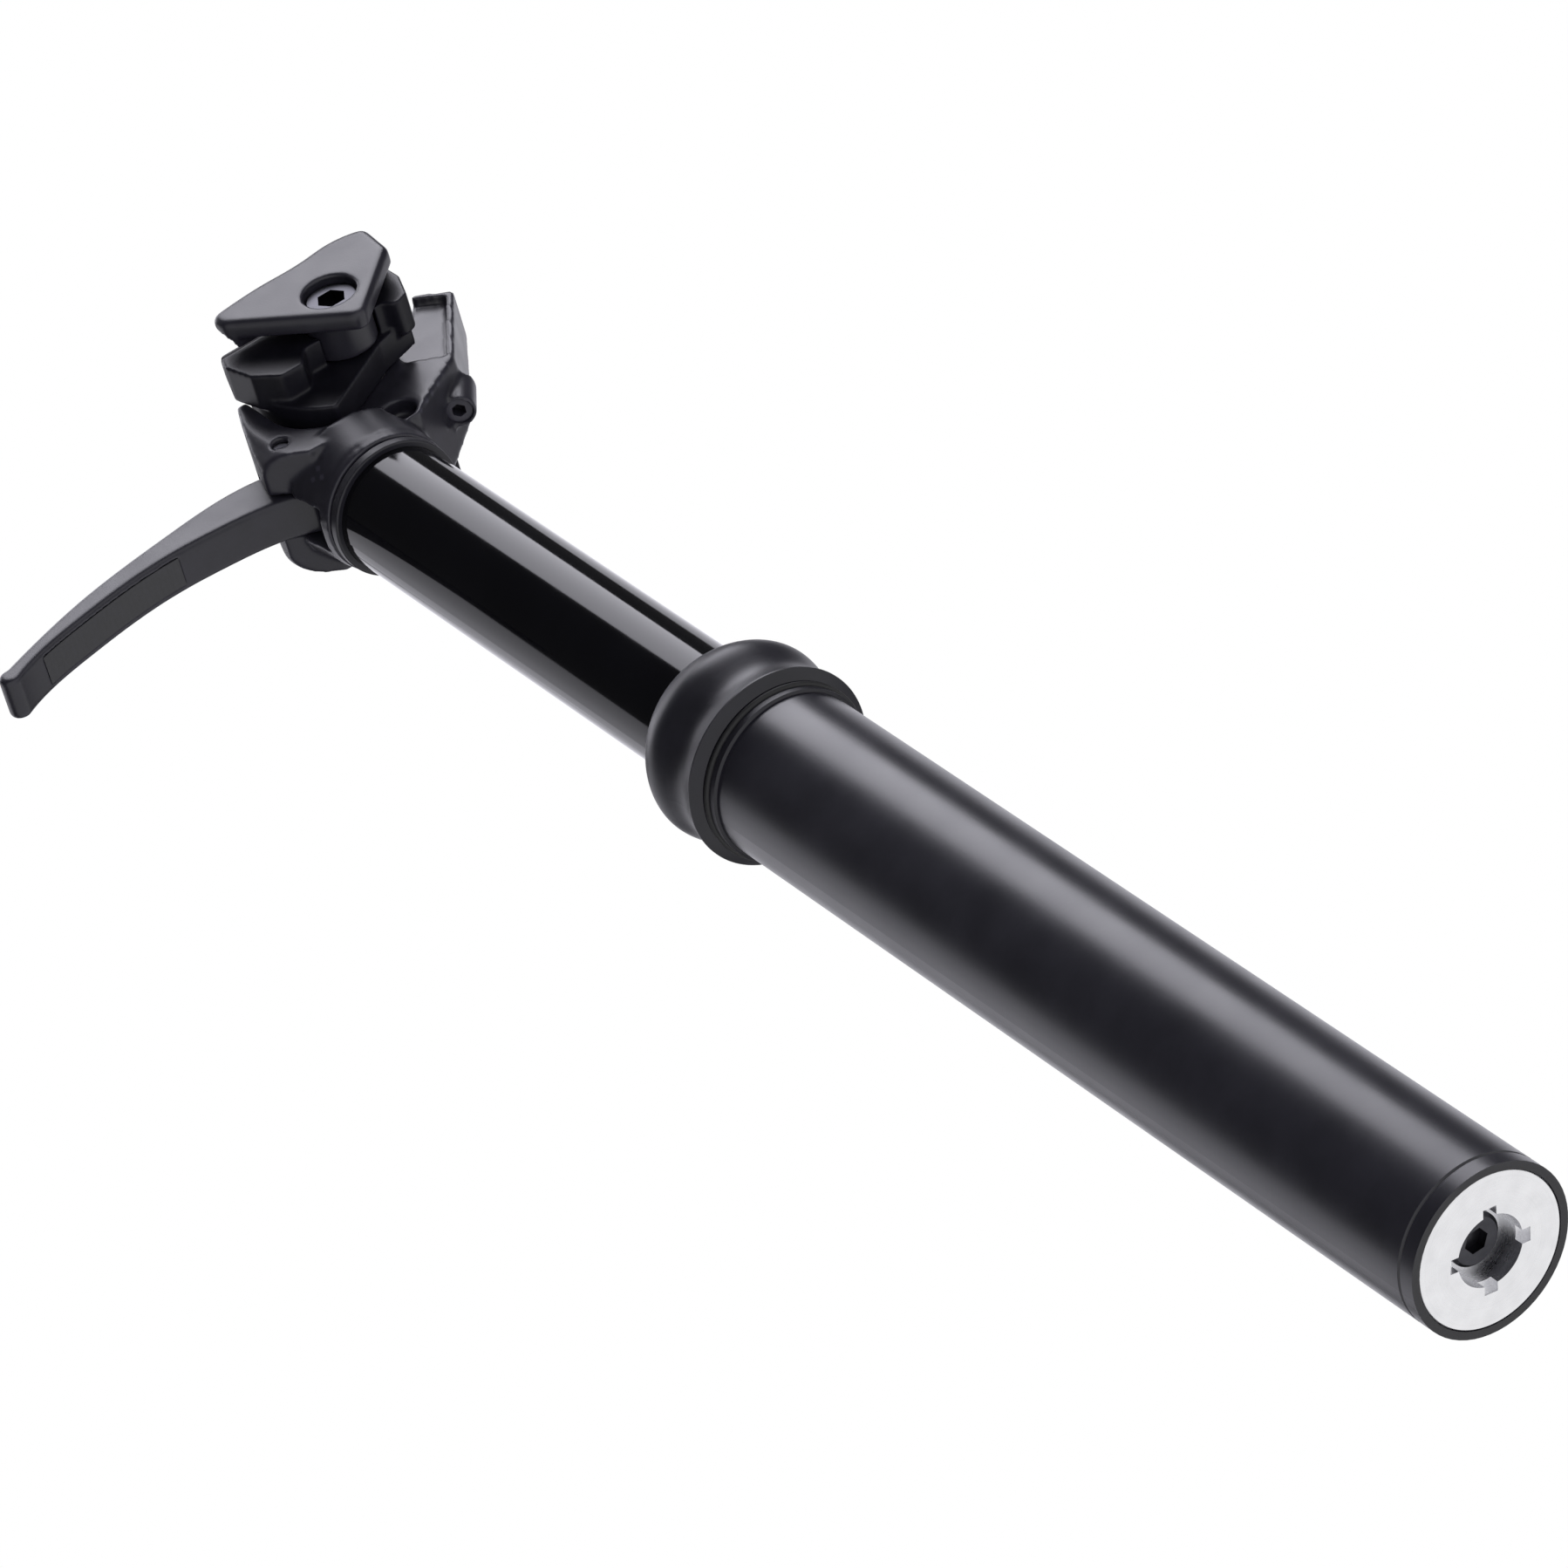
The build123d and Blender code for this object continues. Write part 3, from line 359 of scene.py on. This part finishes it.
forgings = {
    "headForging": {
        "node": "head", "body": "upper_post", "finish": "anodised",
        "voxel": 0.00045, "passes": 9},
    "leverForging": {
        "node": "lever", "body": "release_lever", "finish": "anodised",
        "voxel": 0.00034, "passes": 6},
    "leftCradleForging": {
        "node": "cradle_left", "body": "clamp_core", "finish": "anodisedShaded",
        "voxel": 0.00034, "passes": 7},
    "rightCradleForging": {
        "node": "cradle_right", "body": "clamp_core", "finish": "anodisedShaded",
        "voxel": 0.00034, "passes": 7},
    "leftPlateForging": {
        "node": "plate_left", "body": "clamp_left", "finish": "anodised",
        "voxel": 0.00036, "passes": 9},
    "rightPlateForging": {
        "node": "plate_right", "body": "clamp_right", "finish": "anodised",
        "voxel": 0.00036, "passes": 9},
}
forgeValues = {"mergeWithin": 0.000001, "softness": 0.5}


def pick(piece):
    bpy.ops.object.select_all(action="DESELECT")
    piece.select_set(True)
    bpy.context.view_layer.objects.active = piece


def forge(name, values):
    pick(frame["nodes"][values["node"]])
    bpy.ops.object.duplicate()
    piece = bpy.context.active_object
    piece.name = name
    piece.data.name = name
    piece.parent = None
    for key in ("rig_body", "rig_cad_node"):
        if key in piece:
            del piece[key]
    pick(piece)
    bpy.ops.object.mode_set(mode="EDIT")
    bpy.ops.mesh.select_all(action="SELECT")
    bpy.ops.mesh.customdata_custom_splitnormals_clear()
    bpy.ops.mesh.remove_doubles(threshold=forgeValues["mergeWithin"])
    bpy.ops.object.mode_set(mode="OBJECT")
    skin = piece.modifiers.new("skin", "REMESH")
    skin.mode = "VOXEL"
    skin.voxel_size = values["voxel"]
    bpy.ops.object.modifier_apply(modifier="skin")
    soften = piece.modifiers.new("soften", "SMOOTH")
    soften.factor = forgeValues["softness"]
    soften.iterations = values["passes"]
    bpy.ops.object.modifier_apply(modifier="soften")
    bpy.ops.object.shade_smooth()
    dress(piece, values["finish"])
    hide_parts(values["node"])
    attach(piece, values["body"])
    print("forged", name, len(piece.data.polygons), "faces")


for forgingName, forgingValues in forgings.items():
    forge(forgingName, forgingValues)


# floor: pale, keeps the shadow, and is clear from below, where the photograph looks up from

floorValues = {
    "drop": 0.0006, "radius": 2.2, "sides": 96, "fadeFrom": 0.9, "pale": 0.86, "white": 1.0}


def layFloor(values):
    bpy.ops.object.select_all(action="DESELECT")
    bpy.ops.mesh.primitive_circle_add(
        vertices=values["sides"], radius=values["radius"], fill_type="NGON",
        location=(0.0, 0.0, cadLow.z - values["drop"]))
    floor = bpy.context.active_object
    floor.name = "studioFloor"
    material = bpy.data.materials.new("studioFloor")
    material.use_nodes = True
    paint = Paint(material.node_tree)
    place = paint.node("ShaderNodeTexCoord", out="Object")
    x, y = paint.axes(place)[:2]
    away = (x * x + y * y) ** 0.5
    fade = paint.node("ShaderNodeMapRange", {"interpolation_type": "SMOOTHSTEP"}, {
        "Value": away, "From Min": values["fadeFrom"], "From Max": values["radius"]})
    rays = paint.node("ShaderNodeLightPath").socket.node.outputs
    shiny = Wire(paint, rays["Is Glossy Ray"]) + Wire(paint, rays["Is Transmission Ray"])
    below = paint.node("ShaderNodeNewGeometry", out="Backfacing")
    seen = 1.0 - Wire(paint, rays["Is Shadow Ray"])
    solid = (1.0 - below) * seen * (1.0 - fade)
    cloth = paint.node("ShaderNodeBsdfDiffuse", {}, {"Color": (values["pale"],) * 3 + (1.0,)})
    white = paint.node("ShaderNodeEmission", {}, {"Strength": values["white"]})
    clear = paint.node("ShaderNodeBsdfTransparent")
    top = paint.node("ShaderNodeMixShader", {}, {0: shiny, 1: cloth, 2: white})
    whole = paint.node("ShaderNodeMixShader", {}, {0: solid, 1: clear, 2: top})
    paint.node("ShaderNodeOutputMaterial", {}, {"Surface": whole})
    floor.data.materials.append(material)


layFloor(floorValues)
print("floor laid")


# soft studio light: azimuth and elevation in degrees, metres, and brightness of the cloth

softboxes = {
    "keySoftbox": {
        "azimuth": 125.0, "elevation": 47.0, "away": 1.35,
        "wide": 0.80, "tall": 0.80, "bright": 5.2},
    "sideSoftbox": {
        "azimuth": -46.0, "elevation": 46.0, "away": 1.35,
        "wide": 1.05, "tall": 0.80, "bright": 1.1},
    "backSoftbox": {
        "azimuth": -128.0, "elevation": 42.0, "away": 1.60,
        "wide": 1.90, "tall": 1.10, "bright": 1.1},
    "topSoftbox": {
        "azimuth": 0.0, "elevation": 88.0, "away": 1.20,
        "wide": 0.80, "tall": 0.80, "bright": 2.6},
}
lampTint = (1.0, 0.99, 1.08)
roomValues = {"backdrop": 1.0, "dim": 0.07}


def hangSoftbox(name, values):
    azimuth, elevation = math.radians(values["azimuth"]), math.radians(values["elevation"])
    toward = Vector((math.cos(azimuth) * math.cos(elevation),
                     math.sin(azimuth) * math.cos(elevation), math.sin(elevation)))
    middle = (cadLow + cadHigh) / 2
    lampData = bpy.data.lights.new(name, "AREA")
    lampData.shape = "RECTANGLE"
    lampData.color = lampTint
    lampData.size = values["wide"]
    lampData.size_y = values["tall"]
    lampData.energy = values["bright"] * math.pi * values["wide"] * values["tall"]
    lamp = bpy.data.objects.new(name, lampData)
    lamp.location = middle + toward * values["away"]
    lamp.rotation_mode = "QUATERNION"
    lamp.rotation_quaternion = toward.to_track_quat("Z", "Y")
    lamp.visible_camera = False
    bpy.context.scene.collection.objects.link(lamp)


for softboxName, softboxValues in softboxes.items():
    hangSoftbox(softboxName, softboxValues)


def lightRoom(values):
    world = bpy.data.worlds.new("studio")
    bpy.context.scene.world = world
    world.use_nodes = True
    paint = Paint(world.node_tree)
    rays = paint.node("ShaderNodeLightPath").socket.node.outputs
    toCamera = Wire(paint, rays["Is Camera Ray"])
    strength = toCamera * (values["backdrop"] - values["dim"]) + values["dim"]
    sky = paint.node("ShaderNodeBackground", {}, {"Strength": strength})
    sky.socket.node.inputs["Color"].default_value = (1.0, 1.0, 1.0, 1.0)
    paint.node("ShaderNodeOutputWorld", {}, {"Surface": sky})


lightRoom(roomValues)
print("studio lit")
